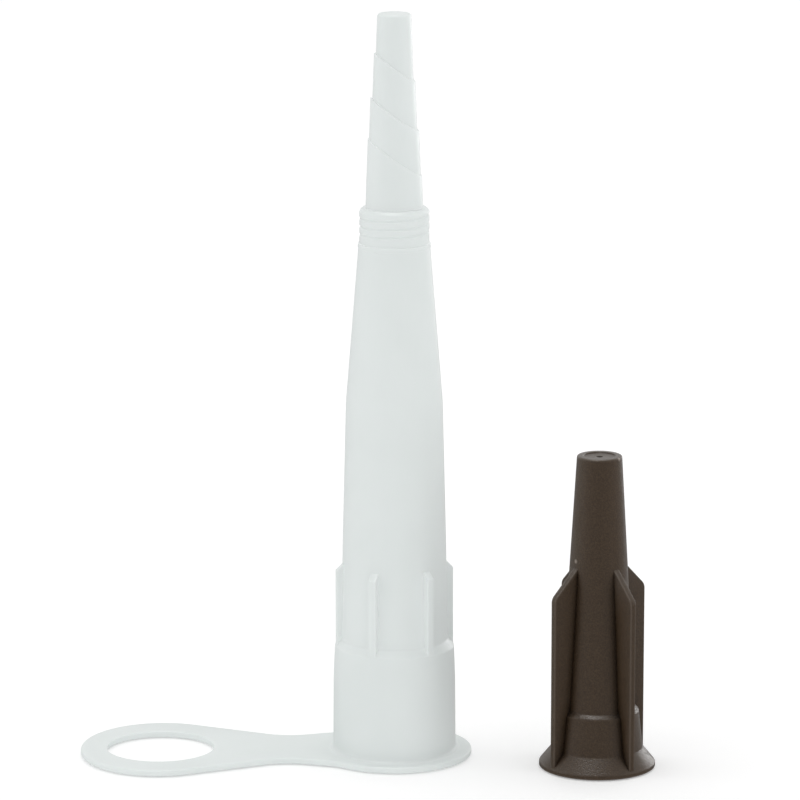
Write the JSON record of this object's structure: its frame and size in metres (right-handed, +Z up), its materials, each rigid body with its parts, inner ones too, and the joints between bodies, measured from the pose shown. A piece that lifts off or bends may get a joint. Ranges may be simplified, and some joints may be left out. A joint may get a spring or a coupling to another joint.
{
  "type": "caulk cartridge nozzle with screw cap",
  "caption": "Translucent stepped caulk nozzle with a tie ring on its flange, and its winged screw cap standing beside it.",
  "frame": {"origin": "centre of the nozzle's flat base, on its axis", "axes": "+Z up the nozzle's axis to its tip, -X along the strap to the tie ring, +X towards the cap; the viewer looks along +Y"},
  "size_m": [0.0899, 0.0291, 0.117],
  "materials": {
    "natural_plastic": "satin",
    "brown_plastic": "matte"
  },
  "bodies": {
    "root": {"nozzle": "natural_plastic", "cap": "brown_plastic"}
  },
  "joints": []
}
